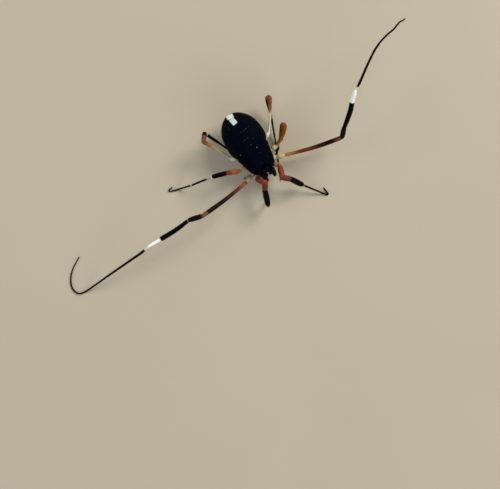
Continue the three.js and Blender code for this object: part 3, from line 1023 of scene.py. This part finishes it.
def build_leg(side, pair, material, bristle):
    """One leg: coxa, trochanter and the five free segments in one skin, its bristles and claw."""
    shape = Shape()
    coat = Bristles()
    draw = random.Random(SEED + 10 * pair + len(side))
    parts = leg_parts(side, pair)
    for index, (segment, route) in enumerate(parts):
        thickness, tints = look_of(side, pair, segment)
        strip = strip_of(index, len(parts))
        limb(shape, route, thickness, tints, strip, **FORMS[segment])
        add_bristles(coat, draw, route, thickness, tints, strip, *LEG_BRISTLES[segment])
    name = f"leg_{pair + 1}_{side}"
    shape.finish(f"{name}_skin", material, "leg_black",
                 [f"{name}_{segment}" for segment in ("coxa", *SEGMENTS)])
    coat.finish(f"{name}_bristles", bristle, "leg_black")
    last = parts[-1][1]
    build_claw(f"{name}_claw", last.centres[-1], last.frames[-1][0], material, CLAW_SIZE)


# Pedipalps, jaws and the jaws' fingers on the left side: joints from the head out, and thickness
# along each segment
PALP_JOINTS = (
    (0.62, -2.88, 2.2), (0.63, -3.1, 2.42), (0.59, -3.44, 2.56), (0.53, -3.68, 2.5),
    (0.47, -3.88, 2.26), (0.45, -3.99, 1.84),
)
PALP_THICKNESS = (
    ((0, 0.26), (0.5, 0.34), (1, 0.26)), ((0, 0.26), (0.5, 0.44), (1, 0.4)),
    ((0, 0.34), (0.5, 0.46), (1, 0.4)), ((0, 0.34), (0.5, 0.44), (1, 0.34)),
    ((0, 0.28), (0.5, 0.32), (1, 0.14)),
)
JAW_JOINTS = ((0.27, -2.92, 1.88), (0.28, -3.24, 1.9), (0.28, -3.42, 1.72), (0.27, -3.5, 1.24))
JAW_THICKNESS = (
    ((0, 0.34), (0.6, 0.42), (1, 0.36)), ((0, 0.34), (0.5, 0.4), (1, 0.34)),
    ((0, 0.32), (0.35, 0.46), (0.8, 0.42), (1, 0.26)),
)
FINGER_JOINTS = (
    ((0.33, -3.52, 1.24), (0.36, -3.53, 1.1), (0.3, -3.49, 0.96)),
    ((0.22, -3.5, 1.24), (0.19, -3.5, 1.1), (0.25, -3.47, 0.98)),
)
FINGER_THICKNESS = ((0, 0.16), (0.4, 0.12), (1, 0.03))
HEAD_BRISTLES = (60, 0.09)       # to a millimetre of a segment's length, and how long


def build_jointed(side, name, joints, thicknesses, tints, material, bristle, node):
    """A short jointed limb of the head, with its bristles. Gives its tip and where that points."""
    shape = Shape()
    coat = Bristles()
    draw = random.Random(SEED + len(name))
    places = [on_head(point, side) for point in joints]
    for index, thickness in enumerate(thicknesses):
        route = Route(places[index:index + 2])
        strip = strip_of(index, len(joints))
        limb(shape, route, thickness, tints, strip, columns=24, spacing=0.03)
        add_bristles(coat, draw, route, thickness, tints, strip, *HEAD_BRISTLES)
    shape.finish(f"{side}_{name}", material, "leg_black", [node])
    coat.finish(f"{side}_{name}_bristles", bristle, "leg_black")
    return places[-1], (places[-1] - places[-2]).normalized()


def build_mouthparts(side, material, bristle):
    """The pedipalp and the jaw of one side, and the jaw's two fingers."""
    tip, forward = build_jointed(
        side, "palp", PALP_JOINTS, PALP_THICKNESS, PALP_TINTS, material, bristle,
        f"pedipalp_{side}")
    build_claw(f"{side}_palp_claw", tip, forward, material, PALP_CLAW_SIZE)
    build_jointed(
        side, "jaw", JAW_JOINTS, JAW_THICKNESS, JAW_TINTS, material, bristle,
        f"chelicera_{side}")
    fingers = Shape()
    for joints in FINGER_JOINTS:
        route = Route([on_head(point, side) for point in joints])
        limb(fingers, route, FINGER_THICKNESS, CLAW_TINTS, columns=14, spacing=0.02)
    fingers.finish(f"{side}_jaw_fingers", material, "leg_black")


# Materials

class Shade:
    """A socket that can be used in sums, such as 1 - mask."""

    def __init__(self, finish, socket):
        self.finish = finish
        self.socket = socket

    def maths(self, operation, *values):
        """The outcome of a sum, as a new shade."""
        return self.finish.node(
            "ShaderNodeMath", {"operation": operation}, dict(enumerate(values)))

    def __add__(self, other):
        return self.maths("ADD", self, other)

    def __sub__(self, other):
        return self.maths("SUBTRACT", self, other)

    def __rsub__(self, other):
        return self.maths("SUBTRACT", other, self)

    def __mul__(self, other):
        return self.maths("MULTIPLY", self, other)

    def __truediv__(self, other):
        return self.maths("DIVIDE", self, other)

    __radd__ = __add__
    __rmul__ = __mul__

    def magnitude(self):
        return self.maths("ABSOLUTE", self)

    def power(self, exponent):
        return self.maths("POWER", self, exponent)

    def smooth_step(self, start, end):
        """0 below start and 1 above end, or the other way round where start is the larger."""
        return self.finish.node(
            "ShaderNodeMapRange", {"interpolation_type": "SMOOTHSTEP"},
            {"Value": self, "From Min": start, "From Max": end})


class Finish:
    """A material: a Principled shader, and the nodes that feed what varies over the surface."""

    def __init__(self, name, **settings):
        self.material = bpy.data.materials.new(name)
        self.material.use_nodes = True
        self.tree = self.material.node_tree
        self.shader = next(node for node in self.tree.nodes if node.type == "BSDF_PRINCIPLED")
        for setting, value in settings.items():
            self.socket(setting).default_value = value

    def socket(self, name):
        """The shader's socket of a name such as base_color."""
        return self.shader.inputs[name.replace("_", " ").title().replace("Ior", "IOR")]

    def node(self, kind, settings=None, sockets=None, output=0):
        """Adds a node, with its settings first and then its sockets' values or links."""
        node = self.tree.nodes.new(kind)
        for name, value in (settings or {}).items():
            setattr(node, name, value)
        for name, value in (sockets or {}).items():
            if isinstance(value, Shade):
                self.tree.links.new(value.socket, node.inputs[name])
            else:
                node.inputs[name].default_value = value
        return Shade(self, node.outputs[output])

    def scaled(self, vector, factor):
        """A vector or a colour times a number."""
        return self.node(
            "ShaderNodeVectorMath", {"operation": "SCALE"}, {0: vector, "Scale": factor})

    def tint(self):
        """The tint of each point of the mesh."""
        return self.node("ShaderNodeAttribute", {"attribute_name": "tint"})

    def mix(self, factor, first, second):
        """A colour between two colours, which are the node's inputs 6 and 7 and its output 2."""
        return self.node(
            "ShaderNodeMix", {"data_type": "RGBA"}, {0: factor, 6: first, 7: second}, output=2)

    def body_millimetres(self):
        """The place on the piece in the animal's own millimetres, as a vector."""
        here = self.node("ShaderNodeTexCoord", output="Object")
        moved = self.node(
            "ShaderNodeVectorMath", {"operation": "SUBTRACT"}, {0: here, 1: ORIGIN})
        return self.scaled(moved, 1 / MM)

    def split(self, vector):
        """A vector's three numbers."""
        parts = self.node("ShaderNodeSeparateXYZ", sockets={0: vector}).socket.node
        return [Shade(self, socket) for socket in parts.outputs]

    def cloud(self, vector, per_millimetre):
        """Soft noise from 0 to 1."""
        sockets = {"Vector": vector, "Scale": per_millimetre, "Detail": 3.0}
        return self.node("ShaderNodeTexNoise", sockets=sockets)

    def pebbles(self, vector, per_millimetre):
        """Distance from the nearest of many scattered points, for grains."""
        return self.node(
            "ShaderNodeTexVoronoi", sockets={"Vector": vector, "Scale": per_millimetre})

    def bump(self, height, millimetres):
        """Feeds the normal with a relief of so many millimetres."""
        sockets = {"Height": height, "Distance": millimetres * MM, "Strength": 1.0}
        self.feed(normal=self.node("ShaderNodeBump", sockets=sockets))

    def feed(self, **sockets):
        """Links what varies over the surface to the shader."""
        for name, shade in sockets.items():
            self.tree.links.new(shade.socket, self.socket(name))


# The white patch: two leaning pieces, each with its colour, centre (x, y), half sizes and turn in
# degrees, and the grey specks between them as (x, y)
PATCH_PIECES = (
    (paint(208, 226, 206), (0, 2.78), (0.265, 0.37), 5),
    (paint(232, 234, 216), (0.01, 3.37), (0.34, 0.24), -12),
)
PATCH_EDGE = 0.025
PATCH_RAGGEDNESS = 0.08
PATCH_BOTTOM = (2.2, 2.5)        # levels between which the patch comes in
PATCH_CORNER = 8                 # power of the pieces' outline: 2 is an oval, more is squarer
PATCH_SPECKS = ((-0.13, 3.09), (0.17, 3.08))
SPECK_RADIUS = 0.06
SPECK_GREY = paint(96, 100, 102)


def shell_material(name, with_patch):
    """The grained blue-black shell, with the white patch on the abdomen."""
    finish = Finish(name, specular_ior_level=0.035, specular_tint=(0.5, 0.7, 1, 1))
    place = finish.body_millimetres()
    tint = finish.tint()
    grains = finish.pebbles(place, per_millimetre=16)
    fine = finish.cloud(place, per_millimetre=30)
    broad = finish.cloud(place, per_millimetre=1.4)
    colour = finish.mix(broad.smooth_step(0.35, 0.7), finish.scaled(tint, 0.5), tint)
    if with_patch:
        x, y, z = finish.split(place)
        on_top = z.smooth_step(*PATCH_BOTTOM)
        ragged = (fine - 0.5) * PATCH_RAGGEDNESS
        for white, (centre_x, centre_y), (half_x, half_y), degrees in PATCH_PIECES:
            turn = math.radians(degrees)
            from_x, from_y = x - centre_x, y - centre_y
            across = (from_x * math.cos(turn) + from_y * math.sin(turn)) / half_x
            along = (from_y * math.cos(turn) - from_x * math.sin(turn)) / half_y
            rim = across.magnitude().power(PATCH_CORNER) + along.magnitude().power(PATCH_CORNER)
            beyond = (rim.power(1 / PATCH_CORNER) - 1) * min(half_x, half_y)
            patch = (beyond + ragged).smooth_step(PATCH_EDGE, -PATCH_EDGE)
            colour = finish.mix(patch * on_top, colour, white)
        for speck_x, speck_y in PATCH_SPECKS:
            apart = (x - speck_x).magnitude() + (y - speck_y).magnitude()
            speck = (apart + ragged).smooth_step(SPECK_RADIUS + PATCH_EDGE, SPECK_RADIUS)
            colour = finish.mix(speck * on_top, colour, SPECK_GREY)
    finish.feed(base_color=colour, roughness=0.42 + 0.2 * fine)
    finish.bump(grains.smooth_step(0.6, 0.1) + 0.4 * fine, millimetres=0.02)
    return finish.material


STREAKS = (14, 30, 1)            # streaks round a limb and along it


def leg_material():
    """The satin skin of the legs: each point's own tint, with fine streaks and mottling."""
    finish = Finish("leg_skin", specular_ior_level=0.05, specular_tint=(0.7, 0.75, 1, 1))
    tint = finish.tint()
    streaks_here = Shade(finish, tint.socket.node.outputs["Alpha"])
    place = finish.body_millimetres()
    mottle = finish.cloud(place, per_millimetre=5)
    fine = finish.cloud(place, per_millimetre=40)
    skin_map = finish.node("ShaderNodeUVMap", {"uv_map": "Skin"})
    stretched = finish.node(
        "ShaderNodeVectorMath", {"operation": "MULTIPLY"}, {0: skin_map, 1: STREAKS})
    streaks = finish.cloud(stretched, 1.0).smooth_step(0.45, 0.6) * streaks_here
    darker = finish.scaled(tint, 0.45)
    colour = finish.mix(streaks, tint, darker)
    paleness = finish.split(tint)[1]
    shaded = finish.mix(mottle.smooth_step(0.65, 0.35) * 0.5 * (1 - paleness), colour, darker)
    finish.feed(base_color=shaded, roughness=0.32 + 0.2 * mottle)
    finish.bump(fine, millimetres=0.008)
    return finish.material


def tinted_material(name, mottling):
    """A plain satin finish in each point's own tint, mottled by so much."""
    finish = Finish(name, roughness=0.5, specular_ior_level=0.06)
    tint = finish.tint()
    mottle = finish.cloud(finish.body_millimetres(), per_millimetre=12)
    finish.feed(base_color=finish.mix(mottle, tint, finish.scaled(tint, 1 - mottling)))
    return finish.material


def eye_material():
    """A smooth blue-black."""
    finish = Finish("eye", roughness=0.3, specular_ior_level=0.06)
    mottle = finish.cloud(finish.body_millimetres(), per_millimetre=6)
    colour = finish.mix(mottle, (0.002, 0.002, 0.003, 1), (0.005, 0.004, 0.008, 1))
    finish.feed(base_color=colour)
    return finish.material


# Stage

def floor_material():
    """A dull sand colour with broad soft clouds."""
    finish = Finish("pale_floor", roughness=0.85, specular_ior_level=0.2)
    mottle = finish.cloud(finish.body_millimetres(), per_millimetre=0.05)
    colour = finish.mix(mottle, (0.46, 0.395, 0.285, 1), (0.5, 0.435, 0.325, 1))
    finish.feed(base_color=colour)
    return finish.material


def build_stage():
    """A plain floor and soft light."""
    shape = bmesh.new()
    bmesh.ops.create_grid(shape, x_segments=8, y_segments=8, size=FLOOR_HALF_WIDTH)
    mesh = bpy.data.meshes.new("floor")
    shape.to_mesh(mesh)
    shape.free()
    mesh.materials.append(floor_material())
    floor = bpy.data.objects.new("floor", mesh)
    bpy.context.collection.objects.link(floor)

    world = bpy.data.worlds.new("soft_room")
    world.use_nodes = True
    sky = world.node_tree.nodes["Background"].inputs
    sky["Color"].default_value = WORLD_COLOUR
    sky["Strength"].default_value = WORLD_STRENGTH
    bpy.context.scene.world = world
    for name, place, size, power, colour in LAMPS:
        light = bpy.data.lights.new(name, "AREA")
        light.shape = "DISK"
        light.size = size
        light.energy = power
        light.color = colour
        lamp = bpy.data.objects.new(name, light)
        lamp.location = place
        lamp.rotation_euler = (-Vector(place)).to_track_quat("-Z", "Y").to_euler()
        bpy.context.collection.objects.link(lamp)


def build_camera():
    """The camera straight above, turned so that the picture's up is the photograph's."""
    camera = bpy.data.cameras.new("camera")
    camera.sensor_width = SENSOR_WIDTH
    camera.lens = FOCAL_PIXELS / PHOTO_WIDTH * SENSOR_WIDTH
    camera.clip_start = 0.01
    view = bpy.data.objects.new("camera", camera)
    view.location = ORIGIN + Vector((*CAMERA_PLACE, CAMERA_HEIGHT)) * MM
    view.rotation_euler = (0, 0, math.atan2(-IMAGE_UP[0], IMAGE_UP[1]))
    bpy.context.collection.objects.link(view)
    bpy.context.scene.camera = view


def build():
    """Camera, stage and all the pieces."""
    bpy.context.scene.view_settings.view_transform = "Standard"
    build_camera()
    build_stage()
    abdomen_shell = shell_material("abdomen_shell", True)
    carapace_shell = shell_material("carapace_shell", False)
    skin = leg_material()
    build_trunk_part("abdomen", ABDOMEN, ABDOMEN_FRONT, REAR_END - INSET, abdomen_swell,
                     abdomen_shell, "opisthosoma")
    build_trunk_part("carapace", CARAPACE, FRONT_END + INSET, CARAPACE_REAR, carapace_swell,
                     carapace_shell, "prosoma")
    bristle = tinted_material("bristle", 0.4)
    build_knobs(tinted_material("knob", 0.3))
    build_trunk_bristles(bristle)
    build_genital_plate(carapace_shell)
    build_ocularium(carapace_shell)
    build_eyes(eye_material())
    for side in SIDES:
        build_mouthparts(side, skin, bristle)
        for pair in range(len(COXA_ENDS)):
            build_leg(side, pair, skin, bristle)


build()
